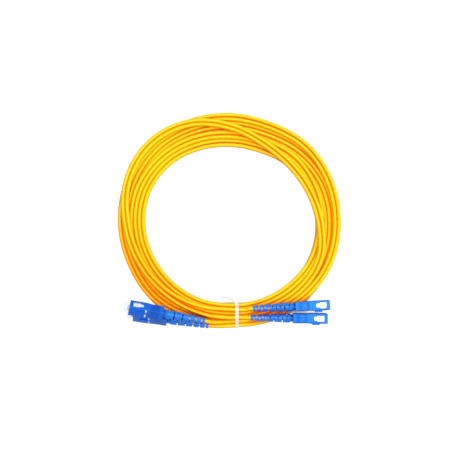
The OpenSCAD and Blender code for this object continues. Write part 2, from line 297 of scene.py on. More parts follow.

# %% [markdown]
# ## Painted shade on the jackets
#
# Where strands crowd together, light comes in only by way of their neighbours' yellow, and the
# colour deepens to orange and to a dark red. This shade is painted into the jackets' colour. The
# value "shade" says how far: it adds up how much of the other strands, of the boots and of the
# sleeves a point of a jacket faces, and adds painted shade on side faces, on the side away from the
# key lamp and on the far side of the coil. Inside a boot it grows towards the plug, as painted shade
# down the slots. Light scattered inside the jackets would do the same, but it renders slowly and
# with coloured noise, so the value is worked out once, from marks set along everything that crowds.

# %% Marks along everything that crowds
MARK_STEP = 1.2
STRAND_REACH = 5.0
PLUG_REACH = 8.0
# half the thickness of a plug: its boot's rear and front, and its sleeve
BOOT_REAR_R, BOOT_FRONT_R, SLEEVE_R = 2.1, 3.4, 3.7
IN_BOOT = NECK_REAR - BOOT_REAR


def spaced(line, step):
    """Points of a line a step apart, each with its distance from the start."""
    rows, s, due = [], 0.0, 0.0
    for a, b in zip(line, line[1:]):
        gap = (b - a).length
        while due < s + gap:
            rows.append((due, a.lerp(b, (due - s) / gap)))
            due += step
        s += gap
    return rows


# owner, distance along it, point, how much thicker than a jacket it is there, and its reach
marks = []
for name, line in lines.items():
    marks += [(name, s, point, 0, STRAND_REACH) for s, point in spaced(line, MARK_STEP)]
for plug in PLUGS:
    for s, point in spaced([on_axis(plug, BOOT_REAR), on_axis(plug, 0)], MARK_STEP):
        radius = min(SLEEVE_R, lerp(BOOT_REAR_R, BOOT_FRONT_R, s / IN_BOOT))
        marks.append((plug, s, point, radius - JACKET_D / 2, PLUG_REACH))
mark_tree = KDTree(len(marks))
for i, (_, _, point, _, _) in enumerate(marks):
    mark_tree.insert(point, i)
mark_tree.balance()
print(len(marks), "marks along the leads and plugs")

# %% Painted shade of a point of a jacket
# the sum that counts as full painted shade, and the most that strands alone and all together
# can give
FULL_SHADE_SUM = 6.5
STRANDS_MOST = 0.72
OUTSIDE_MOST = 0.9
PLUG_SHARE = 1.2
# marks of the same lead nearer than this along it are the strand itself
SAME_STRAND = 9.0
# painted shade that a side face, the face away from the key lamp and the far side of the coil add
SIDE_FACE_SHADE = 1.1
AWAY_FROM_KEY_SHADE = 3.4
FAR_SIDE_SHADE = 1.8
FAR_FROM, FAR_OVER = 55, 25
FROM_KEY = Vector((-0.7, -0.7, 0))
# painted shade in a boot: how much clears towards its mouth, where that starts and over what share
MOUTH_CLEARS = 0.68
CLEAR_FROM, CLEAR_OVER = 0.48, 0.12


def painted_jacket_shade(lead, length, spot, normal):
    """Painted shade, from 0 on top of a lone strand to 0.9 deep among others, up to 1 deep in a
    boot.
    """
    near = mark_tree.find_range(spot, PLUG_REACH + SLEEVE_R - JACKET_D / 2)
    own = min((gap, marks[i][1]) for _, i, gap in near if marks[i][0] == lead)[1]
    end = min(own, length - own)
    # painted shade down a boot's slots, darkest towards the plug
    if end < IN_BOOT:
        return 1 - MOUTH_CLEARS * clamp((end / IN_BOOT - CLEAR_FROM) / CLEAR_OVER)
    # painted shade on side faces, on faces turned from the key lamp and on the coil's far side
    far = FROM_KEY.dot(spot - Vector((*COIL_MIDDLE, 0)))
    total = SIDE_FACE_SHADE * (1 - max(0.0, normal.z)) + AWAY_FROM_KEY_SHADE * max(0.0, normal.dot(FROM_KEY))
    total += FAR_SIDE_SHADE * max(0.0, (far - FAR_FROM) / FAR_OVER)
    plugs = 0.0
    # painted shade where a point faces other strands, boots and sleeves
    for point, i, gap in near:
        name, s, _, extra, reach = marks[i]
        faced = max(0.0, normal.dot(point - spot) / gap) * max(0.0, 1 - (gap - extra) / reach)
        if name in PLUGS:
            plugs += PLUG_SHARE * faced
        elif name != lead or abs(s - own) > SAME_STRAND:
            total += faced
    return OUTSIDE_MOST * min(1.0, min(STRANDS_MOST, total / FULL_SHADE_SUM) + plugs / FULL_SHADE_SUM)


UP = Vector((0, 0, 1))
sample = lines["lead_a"][400] + UP * JACKET_D / 2
print("on top of a strand:", round(painted_jacket_shade("lead_a", line_length(lines["lead_a"]), sample, UP), 2))

# %% [markdown]
# ## The jackets
#
# A lead's jacket is a round tube of soft plastic with a faint gloss. A circle could be carried
# along the line by hand, but a curve object with a round bevel does it in one step. It is then
# made a mesh, so that each of its points can hold its shade.

# %% Lead jackets
def tube_on_line(name, line, diameter):
    """A round tube along a line, as a mesh."""
    data = bpy.data.curves.new(name, "CURVE")
    data.dimensions = "3D"
    data.bevel_depth = diameter / 2 * MM
    data.bevel_resolution = 6
    data.use_fill_caps = True
    spline = data.splines.new("POLY")
    spline.points.add(len(line) - 1)
    for point, spot in zip(spline.points, line):
        point.co = (*(spot * MM), 1)
    spline.use_smooth = True
    bevelled = bpy.data.objects.new("bevelled_line", data)
    obj = bpy.data.objects.new(name, bpy.data.meshes.new_from_object(bevelled))
    bpy.data.objects.remove(bevelled)
    bpy.context.scene.collection.objects.link(obj)
    return obj


def closed_up(mesh):
    """Merges the doubled points of a tube's ends and points all its faces outwards."""
    bm = bmesh.new()
    bm.from_mesh(mesh)
    bmesh.ops.remove_doubles(bm, verts=bm.verts, dist=1e-6)
    bmesh.ops.recalc_face_normals(bm, faces=bm.faces)
    bm.to_mesh(mesh)
    bm.free()


jackets = {}
for name, line in lines.items():
    jacket = tube_on_line(f"jacket_{name[-1]}", line, JACKET_D)
    closed_up(jacket.data)
    length = line_length(line)
    # the painted shade of each point of the jacket
    values = [painted_jacket_shade(name, length, v.co / MM, v.normal) for v in jacket.data.vertices]
    jacket.data.attributes.new("shade", "FLOAT", "POINT").data.foreach_set("value", values)
    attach(jacket, "root")
    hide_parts(name)
    jackets[name] = jacket
    print(jacket.name, len(values), "points, mean shade", round(sum(values) / len(values), 2))

# %% [markdown]
# ## The coupling sleeve
#
# The blue housing that the fingers hold is a thin square tube with a window in both wide-apart
# faces, a waist, a shallow finger grip and a rounded front. A box is the right start: planes cut it
# where something changes, the new corners are moved, and a copy makes the inside wall. Round each
# opening a face joins every edge to its own copy.

# %% Helpers for modelling
def once(items):
    """Each item once, in the order in which they came."""
    return list(dict.fromkeys(items))


def cut(bm, place, normal, faces=None):
    """Cuts the mesh, or some of its faces, along a plane and keeps both sides."""
    faces = list(faces or bm.faces)
    parts = [part for face in faces for part in (*face.edges, *face.verts)]
    geom = once(faces + parts)
    bmesh.ops.bisect_plane(bm, geom=geom, dist=1e-4, plane_co=place, plane_no=normal)


def box(bm, low, high):
    """Adds a box between two corners and returns its vertices."""
    verts = bmesh.ops.create_cube(bm, size=1)["verts"]
    bmesh.ops.scale(bm, vec=[b - a for a, b in zip(low, high)], verts=verts)
    bmesh.ops.translate(bm, vec=[(a + b) / 2 for a, b in zip(low, high)], verts=verts)
    return verts


def edges_at(verts):
    """The edges that meet at any of some vertices."""
    return once(edge for vert in verts for edge in vert.link_edges)


def open_edges(bm, keep):
    """The edges on the border of an opening, of those whose middle passes the test."""
    return [e for e in bm.edges if e.is_boundary and keep((e.verts[0].co + e.verts[1].co) / 2)]


def soften(bm, edges, radius, segments):
    """Makes a round of each edge."""
    bmesh.ops.bevel(
        bm,
        geom=edges,
        offset=radius,
        offset_type="OFFSET",
        affect="EDGES",
        segments=segments,
        profile=0.5,
        material=-1,
    )


print("modelling helpers ready")

# %% The outside of the sleeve
SLEEVE_L = 25.2
HALF_Y, HALF_Z = 3.7, 4.5
WINDOW_FRONT, WINDOW_TAPER, WINDOW_REAR = -2.4, -7.2, -10.1
WINDOW_HALF = 2.3
# half width of the window at each place along the sleeve
WINDOW = {
    WINDOW_FRONT: WINDOW_HALF,
    WINDOW_TAPER: WINDOW_HALF,
    -8.1: 1.55,
    -9.5: 1.55,
    WINDOW_REAR: 1.0,
}
# half height and half width of the outside, where they change
SIDE_Z = {-15.2: HALF_Z, -16.0: 4.15, -21.4: 4.15, -22.0: 4.3, -SLEEVE_L: 4.3}
SIDE_Y = {-12.8: HALF_Y, -13.6: 3.5}


def row_value(row, x, start):
    """The value of the nearest place ahead of x in a row, or the starting value."""
    values = [value for place, value in row.items() if x <= place + 0.01]
    return values[-1] if values else start


def sleeve_outside(bm):
    """A box, cut wherever its outside or its windows change, with the new corners moved."""
    box(bm, (-SLEEVE_L, -HALF_Y, -HALF_Z), (0, HALF_Y, HALF_Z))
    for x in sorted({*WINDOW, *SIDE_Z, *SIDE_Y} - {-SLEEVE_L}):
        cut(bm, (x, 0, 0), (1, 0, 0))
    for y in (-WINDOW_HALF, WINDOW_HALF):
        cut(bm, (0, y, 0), (0, 1, 0))
    for v in bm.verts:
        x = round(v.co.x, 2)
        if abs(v.co.y) < HALF_Y - 0.1:
            v.co.y = math.copysign(WINDOW.get(x, WINDOW_HALF), v.co.y)
        else:
            v.co.y = math.copysign(row_value(SIDE_Y, x, HALF_Y), v.co.y)
        v.co.z = math.copysign(row_value(SIDE_Z, x, HALF_Z), v.co.z)


trial = bmesh.new()
sleeve_outside(trial)
print("outside of the sleeve:", len(trial.faces), "faces")
trial.free()

# %% The sleeve's inner wall and windows
WALL_Y, WALL_Z = 2.9, 3.6


def in_window(face):
    m = face.calc_center_median()
    return abs(face.normal.z) > 0.9 and WINDOW_REAR < m.x < WINDOW_FRONT and abs(m.y) < 0.5


def sleeve_shell(bm):
    """Opens the box at both ends and at the windows, and gives it its walls."""
    sleeve_outside(bm)
    bm.normal_update()
    ends = [f for f in bm.faces if abs(f.normal.x) > 0.99]
    windows = [f for f in bm.faces if in_window(f)]
    bmesh.ops.delete(bm, geom=ends + windows, context="FACES")
    rims = open_edges(bm, lambda m: True)
    copy = bmesh.ops.duplicate(bm, geom=bm.verts[:] + bm.edges[:] + bm.faces[:])
    inner = copy["vert_map"]
    for v in (g for g in copy["geom"] if isinstance(g, bmesh.types.BMVert)):
        v.co.y = max(-WALL_Y, min(WALL_Y, v.co.y))
        v.co.z = max(-WALL_Z, min(WALL_Z, v.co.z))
    for a, b in [tuple(e.verts) for e in rims]:
        bm.faces.new((a, b, inner[b], inner[a]))
    bmesh.ops.recalc_face_normals(bm, faces=bm.faces)


trial = bmesh.new()
sleeve_shell(trial)
print("sleeve shell:", len(trial.faces), "faces")
print("open edges:", len(open_edges(trial, lambda m: True)))
trial.free()

# %% The grooves beside the windows
GROOVE_Y = (2.6, 2.85)
GROOVE_DEPTH = 0.25


def beside_window(face):
    m = face.calc_center_median()
    outside = abs(face.normal.z) > 0.9 and abs(m.z) > WALL_Z + 0.1
    return outside and WINDOW_TAPER < m.x < WINDOW_FRONT


def groove_floor(face):
    inner, outer = GROOVE_Y
    return beside_window(face) and inner < abs(face.calc_center_median().y) < outer


def sleeve_grooves(bm):
    """A shallow groove on both sides of each window."""
    inner, outer = GROOVE_Y
    for y in (-outer, -inner, inner, outer):
        cut(bm, (0, y, 0), (0, 1, 0), [f for f in bm.faces if beside_window(f)])
    for face in [f for f in bm.faces if groove_floor(f)]:
        sunk = bmesh.ops.extrude_discrete_faces(bm, faces=[face])["faces"][0]
        bmesh.ops.translate(bm, vec=sunk.normal * -GROOVE_DEPTH, verts=sunk.verts)


trial = bmesh.new()
sleeve_shell(trial)
sleeve_grooves(trial)
print("with its grooves:", len(trial.faces), "faces")
trial.free()

# %% [markdown]
# The front corners are worn round, as on every moulded nose. The key is a small block with a
# rounded front that stands on one narrow face, so that the plug fits its port only one way up.
# Behind it two short white marks are printed: they vanish into the port when the plug is home.

# %% The whole sleeve, its key and its marks
CORNER_R = 0.6
KEY_LOW, KEY_HIGH = (-11.0, -4.8, -2.0), (-5.6, -3.5, 2.0)
KEY_R = 1.3
MARK_X = (-12.7, -11.5)
MARK_Y = (-HALF_Y - 0.03, -HALF_Y + 0.1)
MARK_Z = (1.05, 3.95)


def edges_with(edges, test):
    """The edges both of whose ends pass the test."""
    return [e for e in edges if all(test(v.co) for v in e.verts)]


def sleeve_mesh():
    bm = bmesh.new()
    sleeve_shell(bm)
    sleeve_grooves(bm)
    # the waist and the grip draw the corners in, to no less than this
    corners = edges_with(bm.edges, lambda co: abs(co.y) > 3.4 and abs(co.z) > 4.1)
    long_edges = [e for e in corners if abs(e.verts[0].co.x - e.verts[1].co.x) > 0.1]
    nose = edges_with(bm.edges, lambda co: co.x > -0.01 and abs(co.y) > HALF_Y - 0.01)
    soften(bm, once(long_edges + nose), CORNER_R, segments=5)
    key = box(bm, KEY_LOW, KEY_HIGH)
    front = edges_with(edges_at(key), lambda co: co.x > KEY_HIGH[0] - 0.1)
    upright = [e for e in front if abs(e.verts[0].co.y - e.verts[1].co.y) > 1]
    soften(bm, upright, KEY_R, segments=6)
    return bm


def marks_mesh():
    bm = bmesh.new()
    for side in (-1, 1):
        low, high = sorted(side * z for z in MARK_Z)
        box(bm, (MARK_X[0], MARK_Y[0], low), (MARK_X[1], MARK_Y[1], high))
    return bm


trial = sleeve_mesh()
print("whole sleeve:", len(trial.faces), "faces")
trial.free()

# %% [markdown]
# One helper finishes every piece of a plug. It carries the mesh to its place, has a modifier round
# the sharp edges a little, so that they catch the light as moulded edges do, says which body the
# piece rides on and hides the imported solid that it stands for.

# %% Sleeves on their plugs
GRIP_X = (-21.6, -15.8)


def shaded(bm, rule):
    """Gives each vertex a value from 0 to 1: painted shade on the boots, the darker grip on sleeves.
    """
    layer = bm.verts.layers.float.new("shade")
    for v in bm.verts:
        v[layer] = rule(v.co)


def soft_edges(obj, width, segments, angle):
    """Rounds every edge that is sharper than an angle."""
    edge = obj.modifiers.new("edge", "BEVEL")
    edge.width = width * MM
    edge.segments = segments
    edge.limit_method = "ANGLE"
    edge.angle_limit = math.radians(angle)
    return edge


def place(bm, name, plug, body, node, slot, bevel=None):
    """Turns a bmesh drawn along X into a finished piece of one plug."""
    data = bpy.data.meshes.new(f"{name}_{plug}")
    bm.to_mesh(data)
    data.transform(plug_matrix(plug))
    data.shade_smooth()
    obj = bpy.data.objects.new(data.name, data)
    bpy.context.scene.collection.objects.link(obj)
    if bevel:
        soft_edges(obj, bevel, segments=3, angle=32).harden_normals = True
    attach(obj, body)
    if node:
        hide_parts(node)
    return obj


pieces = {}
sleeve = sleeve_mesh()
stripes = marks_mesh()
# the sleeves' finger grip takes a darker blue
shaded(sleeve, lambda co: 1.0 if GRIP_X[0] < co.x < GRIP_X[1] else 0.0)
for plug in PLUGS:
    body = f"coupling_{plug}"
    pieces[f"coupling_sleeve_{plug}"] = place(
        sleeve, "coupling_sleeve", plug, body, f"sleeve_{plug}", "sleeve", bevel=0.1
    )
    pieces[f"index_marks_{plug}"] = place(stripes, "index_marks", plug, body, None, "frame")
sleeve.free()
stripes.free()
print(len(pieces), "pieces so far")

# %% [markdown]
# ## The boot
#
# The boot keeps the lead from kinking at the plug. It is a soft taper, cut from alternate sides
# right past its middle, so that it bends like a backbone. The taper is a spin of its outline. Each
# slot is then two cuts, the faces between them taken out, and a bridge from the outer skin to the
# bore all round the hole. Boolean cuts would do it too, but they leave stray edges on round skins.

# %% The boot's outline and slots
BOOT_OUTLINE = [
    (BOOT_REAR, 1.6),
    (BOOT_REAR, 1.95),
    (BOOT_REAR + 0.2, 2.15),
    (-30.189, 3.35),
    (-28.6, 3.4),
    (-27.7, 3.2),
    (-27.3, 2.85),
    (-26.5, 2.7),
    (-26.3, 2.65),
    (-25.6, 2.6),
    (-25.6, 2.4),
    (-33.0, 2.4),
    (-33.0, 1.6),
]
SPIN_STEPS = 48
SLOTS = 10
SLOT_W = 0.95
# a slot ends this far past the middle, as the sine of an angle round the boot
PAST_MIDDLE = 0.26


def slot_x(k):
    """The rear of slot k: the slots stand a little farther apart towards the plug."""
    return BOOT_REAR + 1.9 + k * (1.95 + 0.081 * k)


def turned(bm, outline):
    """Spins a closed outline of places and radii round the X axis."""
    verts = [bm.verts.new((x, 0, r)) for x, r in outline]
    edges = [bm.edges.new(pair) for pair in zip(verts, verts[1:] + verts[:1])]
    bmesh.ops.spin(
        bm,
        geom=verts + edges,
        axis=(1, 0, 0),
        cent=(0, 0, 0),
        angle=math.tau,
        steps=SPIN_STEPS,
        use_merge=True,
    )


def boot_mesh():
    """The taper with its slots, open to one side and the other in turn."""
    bm = bmesh.new()
    turned(bm, BOOT_OUTLINE)
    bmesh.ops.recalc_face_normals(bm, faces=bm.faces)
    for k in range(SLOTS):
        x0, x1 = slot_x(k), slot_x(k) + SLOT_W
        side = -1 if k % 2 == 0 else 1
        cut(bm, (x0, 0, 0), (1, 0, 0))
        cut(bm, (x1, 0, 0), (1, 0, 0))
        gone = []
        for face in bm.faces:
            m = face.calc_center_median()
            if x0 < m.x < x1 and side * m.y > -PAST_MIDDLE * math.hypot(m.y, m.z):
                gone.append(face)
        bmesh.ops.delete(bm, geom=gone, context="FACES")
        bmesh.ops.bridge_loops(bm, edges=open_edges(bm, lambda m: x0 - 0.01 < m.x < x1 + 0.01))
    bmesh.ops.recalc_face_normals(bm, faces=bm.faces)
    return bm


trial = boot_mesh()
print("boot:", len(trial.faces), "faces, open edges:", len(open_edges(trial, lambda m: True)))
trial.free()

# %% The boots, painted dark where little light comes
NECK_X = -26.4
# where the slotted part ends, and the taper's widest place and radius
SLOTTED_TO = -27.5
WIDEST_X, WIDEST_R = -30.2, 3.35
# deeper below the outside than this is a slot's wall or the bore
SKIN = 0.3
# painted shade on the sides that face another plug
BESIDE_REACH = 11.0
BESIDE_FULL = 6.0
BESIDE_MOST = 0.8


def boot_shade(plug, co):
    """Painted shade: dark on the neck, bore and slot walls, and on the sides that face another plug.
    """
    along = (co.x - BOOT_REAR) / (WIDEST_X - BOOT_REAR)
    outside = lerp(BOOT_REAR_R, WIDEST_R, min(1, along))
    if co.x > NECK_X or (co.x < SLOTTED_TO and math.hypot(co.y, co.z) < outside - SKIN):
        return 1.0
    spot = plug_matrix(plug) @ co / MM
    outwards = (spot - on_axis(plug, co.x)).normalized()
    total = 0.0
    for point, i, gap in mark_tree.find_range(spot, BESIDE_REACH):
        if marks[i][0] in PLUGS and marks[i][0] != plug:
            facing = max(0.0, outwards.dot(point - spot) / gap)
            total += facing * max(0.0, 1 - (gap - marks[i][3]) / BESIDE_REACH)
    return min(BESIDE_MOST, total / BESIDE_FULL)


for plug in PLUGS:
    boot = boot_mesh()
    shaded(boot, lambda co: boot_shade(plug, co))
    pieces[f"slotted_boot_{plug}"] = place(
        boot, "slotted_boot", plug, "root", f"boot_{plug}", "boot", bevel=0.08
    )
    print("boot", plug, "at", [round(v, 1) for v in on_axis(plug, BOOT_REAR)])
    boot.free()

# %% [markdown]
# ## The dust caps
#
# Both plugs of the left pair still wear their caps: a thin tube that hugs the ferrule, and a square
# head with large round corners to pull it off by. The tube is a spin, and the head is a box with
# every edge bevelled. The caps are clear and soft, so they throw no shadow to speak of.

# %% Dust caps
HEAD_LOW, HEAD_HIGH = (1.1, -3.1, -3.1), (4.6, 3.1, 3.1)
HEAD_R = 1.15
TUBE_OUTLINE = [(-4.5, 1.28), (-4.5, 2.0), (1.4, 2.0), (1.4, 1.28)]


def cap_mesh():
    bm = bmesh.new()
    turned(bm, TUBE_OUTLINE)
    bmesh.ops.recalc_face_normals(bm, faces=bm.faces)
    head = box(bm, HEAD_LOW, HEAD_HIGH)
    soften(bm, edges_at(head), HEAD_R, segments=6)
    return bm


cap = cap_mesh()
for plug in ("a2", "b2"):
    soft_cap = place(cap, "soft_cap", plug, f"cap_{plug}", f"dust_cap_{plug}", "cap")
    soft_cap.visible_shadow = False
    pieces[soft_cap.name] = soft_cap
print("cap:", len(cap.faces), "faces")
cap.free()

# %% [markdown]
# ## The springs
#
# Behind each ferrule's collar a spring gives way when the plug is pushed home. Its rear end rests
# on the plug's body. A copy of the imported spring stands in for it.

for plug in PLUGS:
    spring = bpy.data.objects.new(f"squeezed_spring_{plug}", nodes[f"spring_{plug}"].data.copy())
    bpy.context.scene.collection.objects.link(spring)
    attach(spring, "root")
    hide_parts(f"spring_{plug}")
    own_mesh(spring)
    pieces[spring.name] = spring
    print(spring.name, len(spring.data.polygons), "faces")

# %% [markdown]
# ## The wire tie
#
# A flat plastic ribbon with a wire moulded into its middle goes once round the bundle and is
# twisted shut. A plain ring would cut into some strands and miss others. So circles a little larger
# than a jacket are drawn where the strands cross the tie, and it takes the outline round them all.

# %% The outline that the tie follows
TIE_X = 7.1
TIE_CLEAR = 0.06
RING_POINTS = 24


def crossings(line):
    """Where a line passes under the tie."""
    return [
        a.lerp(b, (TIE_X - a.x) / (b.x - a.x))
        for a, b in zip(line, line[1:])
        if (a.x - TIE_X) * (b.x - TIE_X) < 0 and a.y < COIL_MIDDLE[1]
    ]


def tie_outline():
    """The hull of a ring round every strand, across and up."""
    r = JACKET_D / 2 + TIE_CLEAR
    rings = []
    for p in (p for line in lines.values() for p in crossings(line)):
        for k in range(RING_POINTS):
            a = math.tau * k / RING_POINTS
            rings.append(Vector((p.y + r * math.cos(a), p.z + r * math.sin(a))))
    return [rings[i] for i in convex_hull_2d(rings)]


print("tie outline:", len(tie_outline()), "corners")

# %% The tie's band
# from one edge of the ribbon to the other, past the wire in its middle
TIE_STEPS = (0.75, 0.45, 0.45, 0.75)
WIRE_RISE = 0.28


def drawn_out(bm, edges):
    """Extrudes a row of edges and returns the new row and its vertices."""
    made = bmesh.ops.extrude_edge_only(bm, edges=edges)["geom"]
    row = [g for g in made if isinstance(g, bmesh.types.BMEdge)]
    return row, [g for g in made if isinstance(g, bmesh.types.BMVert)]


def tie_band(bm):
    """The band round the bundle, with its faces outwards and its wire raised."""
    verts = [bm.verts.new((TIE_X - sum(TIE_STEPS) / 2, *q)) for q in tie_outline()]
    edges = [bm.edges.new(pair) for pair in zip(verts, verts[1:] + verts[:1])]
    for step in TIE_STEPS:
        edges, moved = drawn_out(bm, edges)
        bmesh.ops.translate(bm, vec=(step, 0, 0), verts=moved)
    bmesh.ops.recalc_face_normals(bm, faces=bm.faces)
    bm.normal_update()
    middle = sum((v.co for v in bm.verts), Vector()) / len(bm.verts)
    if sum(f.normal.dot(f.calc_center_median() - middle) for f in bm.faces) < 0:
        bmesh.ops.reverse_faces(bm, faces=bm.faces)
        bm.normal_update()
    for v in [v for v in bm.verts if abs(v.co.x - TIE_X) < 0.01]:
        v.co += v.normal * WIRE_RISE


trial = bmesh.new()
tie_band(trial)
print("tie band:", len(trial.faces), "faces")
trial.free()

# %% The tie's twisted ends
TAIL = [
    (7.1, 4.9, 7.25),
    (6.9, 5.9, 7.2),
    (6.5, 6.9, 7.0),
    (5.9, 7.8, 6.5),
    (5.2, 8.6, 6.0),
    (4.4, 9.3, 5.4),
    (3.0, 9.9, 4.6),
    (1.3, 10.4, 3.8),
    (-0.7, 10.8, 3.0),
    (-3.3, 11.4, 2.0),
]
TAIL_STEPS = 4
TAIL_TURNS = 1.5
# the share of its length that stays flat, and how much wider it starts
TAIL_FLAT = 0.5
TAIL_WIDE = 2.1
# the section of one end: across, and up
TAIL_SECTION = ((-0.55, 0.1), (-0.22, 0.12), (0, 0.3), (0.22, 0.12), (0.55, 0.1))


def tail_frame(route, i, half):
    """Stands a ribbon's section square on its route: flat and wide at first, then twisted."""
    ahead = route[min(i + 1, len(route) - 1)] - route[max(i - 1, 0)]
    turn = ahead.to_track_quat("X", "Z").to_matrix().to_4x4()
    u = i / (len(route) - 1)
    roll = math.pi * half + math.tau * TAIL_TURNS * max(0, u - TAIL_FLAT)
    wide = lerp(TAIL_WIDE, 1, smooth(u / TAIL_FLAT))
    section = Matrix.Rotation(roll, 4, "X") @ Matrix.Diagonal((1, wide, 1, 1))
    return Matrix.Translation(route[i]) @ turn @ section


def tie_tail(bm, half):
    """One of the two ends, half a turn behind the other round their common line."""
    route = smooth_line([Vector(p) for p in TAIL], TAIL_STEPS)
    frames = [tail_frame(route, i, half) for i in range(len(route))]
    row = [bm.verts.new(frames[0] @ Vector((0, *q))) for q in TAIL_SECTION]
    edges = [bm.edges.new(pair) for pair in zip(row, row[1:])]
    for before, after in zip(frames, frames[1:]):
        edges, moved = drawn_out(bm, edges)
        bmesh.ops.transform(bm, matrix=after @ before.inverted(), verts=moved)


trial = bmesh.new()
tie_tail(trial, 0)
print("one end:", len(trial.faces), "faces")
trial.free()

# %% The whole tie
TIE_THICK = 0.3

tie = bmesh.new()
tie_band(tie)
tie_tail(tie, 0)
tie_tail(tie, 1)
tie_data = bpy.data.meshes.new("wire_tie")
tie.to_mesh(tie_data)
tie.free()
tie_data.transform(Matrix.Scale(MM, 4))
tie_data.shade_smooth()
wire_tie = bpy.data.objects.new("wire_tie", tie_data)
bpy.context.scene.collection.objects.link(wire_tie)
skin = wire_tie.modifiers.new("thickness", "SOLIDIFY")
skin.thickness = TIE_THICK * MM
skin.offset = 1
soft_edges(wire_tie, 0.08, segments=2, angle=50)
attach(wire_tie, "root")
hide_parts("twist_tie")
pieces["wire_tie"] = wire_tie
print("tie:", len(tie_data.polygons), "faces")

# %% [markdown]
# ## The finishes
#
# Moulded and extruded plastics are never one flat colour. A shader group lays a faint, cloudy
# change of tone and a fine grain over a colour, and gives a roughness that varies with the cloud. A
# picture could do this too, but noise has no seams and suits any shape. The group is built once and
# used in every material with its own values.

# %% A shader group for plastic skins
def new_group(name, inputs, outputs):
    group = bpy.data.node_groups.new(name, "ShaderNodeTree")
    for label, kind, value in inputs:
        socket = group.interface.new_socket(label, in_out="INPUT", socket_type=kind)
        socket.default_value = value
    for label, kind in outputs:
        group.interface.new_socket(label, in_out="OUTPUT", socket_type=kind)
    return group


def link(tree, source, target):
    tree.links.new(source, target)


def maths(tree, operation, *values, clamped=False):
    """A Math node on sockets and plain numbers. Returns its result."""
    node = tree.nodes.new("ShaderNodeMath")
    node.operation = operation
    node.use_clamp = clamped
    for socket, value in zip(node.inputs, values):
        if isinstance(value, bpy.types.NodeSocket):
            link(tree, value, socket)
        else:
            socket.default_value = value
    return node.outputs[0]


def noise(tree, where, scale, detail):
    node = tree.nodes.new("ShaderNodeTexNoise")
    node.inputs["Detail"].default_value = detail
    link(tree, where, node.inputs["Vector"])
    link(tree, scale, node.inputs["Scale"])
    return node.outputs["Fac"]


def plastic_group():
    group = new_group(
        "plastic_skin",
        [
            ("Color", "NodeSocketColor", (1, 1, 1, 1)),
            ("Cloud Size", "NodeSocketFloat", 400),
            ("Cloud", "NodeSocketFloat", 0.06),
            ("Grain Size", "NodeSocketFloat", 4000),
            ("Roughness", "NodeSocketFloat", 0.35),
            ("Roughness Change", "NodeSocketFloat", 0.1),
        ],
        [
            ("Color", "NodeSocketColor"),
            ("Roughness", "NodeSocketFloat"),
            ("Height", "NodeSocketFloat"),
        ],
    )
    given = group.nodes.new("NodeGroupInput").outputs
    result = group.nodes.new("NodeGroupOutput").inputs
    where = group.nodes.new("ShaderNodeTexCoord").outputs["Object"]
    cloud = maths(group, "SUBTRACT", noise(group, where, given["Cloud Size"], 3), 0.5)
    tone = group.nodes.new("ShaderNodeVectorMath")
    tone.operation = "SCALE"
    link(group, given["Color"], tone.inputs[0])
    brightness = maths(group, "MULTIPLY_ADD", cloud, given["Cloud"], 1.0)
    link(group, brightness, tone.inputs["Scale"])
    rough = maths(group, "MULTIPLY_ADD", cloud, given["Roughness Change"], given["Roughness"])
    link(group, tone.outputs[0], result["Color"])
    link(group, rough, result["Roughness"])
    link(group, noise(group, where, given["Grain Size"], 2), result["Height"])
    return group


PLASTIC = plastic_group()
print("group", PLASTIC.name, "made")

# %% A material from the group
GRAIN_HEIGHT = 0.1 * MM


def plastic(
    name,
    color,
    cloud_size=400,
    cloud=0.06,
    grain_size=4000,
    roughness=0.35,
    change=0.1,
    bump=0.02,
    **shader,
):
    """A plastic or metal finish. The last values go to the shader's sockets of those names."""
    material = bpy.data.materials.new(name)
    material.use_nodes = True
    tree = material.node_tree
    body = tree.nodes["Principled BSDF"]
    skin = tree.nodes.new("ShaderNodeGroup")
    skin.node_tree = PLASTIC
    skin.inputs["Color"].default_value = (*color, 1)
    skin.inputs["Cloud Size"].default_value = cloud_size
    skin.inputs["Cloud"].default_value = cloud
    skin.inputs["Grain Size"].default_value = grain_size
    skin.inputs["Roughness"].default_value = roughness
    skin.inputs["Roughness Change"].default_value = change
    relief = tree.nodes.new("ShaderNodeBump")
    relief.inputs["Strength"].default_value = bump
    relief.inputs["Distance"].default_value = GRAIN_HEIGHT
    link(tree, skin.outputs["Color"], body.inputs["Base Color"])
    link(tree, skin.outputs["Roughness"], body.inputs["Roughness"])
    link(tree, skin.outputs["Height"], relief.inputs["Height"])
    link(tree, relief.outputs["Normal"], body.inputs["Normal"])
    for socket, value in shader.items():
        label = socket.replace("_", " ").title().replace("Ior", "IOR")
        body.inputs[label].default_value = value
    return material


before = len(bpy.data.materials)
frame_white = plastic("frame_white", (0.96, 0.97, 0.98), roughness=0.3)
back_blue = plastic("back_blue", (0.02, 0.06, 0.3), roughness=0.45)
cap_clear = plastic("cap_clear", (0.45, 0.6, 0.82), roughness=0.5, alpha=0.2)
mark_white = plastic("mark_white", (0.85, 0.9, 0.97), roughness=0.4)
tie_white = plastic("tie_white", (0.9, 0.92, 0.93), roughness=0.3)
ceramic_white = plastic("ceramic_white", (0.93, 0.92, 0.88), roughness=0.12, change=0.02, bump=0.0)
plated_metal = plastic("plated_metal", (0.72, 0.73, 0.75), roughness=0.3, metallic=1.0)
# painted shade: the crimp sleeve's metal is dark, where it shows down the boot's slots
crimp_metal = plastic("crimp_metal", (0.1, 0.1, 0.12), roughness=0.5, metallic=1.0)
spring_wire = plastic("spring_wire", (0.6, 0.6, 0.62), roughness=0.35, metallic=1.0)
print(len(bpy.data.materials) - before, "plain finishes")

# %% [markdown]
# The leads and boots change colour with their painted shade, and the sleeves are a darker blue over
# their grip. An attribute node reads the value that each point of the mesh holds, and a ramp turns
# it into a colour. Painted pictures would need a flat map of every piece, and the value is there
# already.

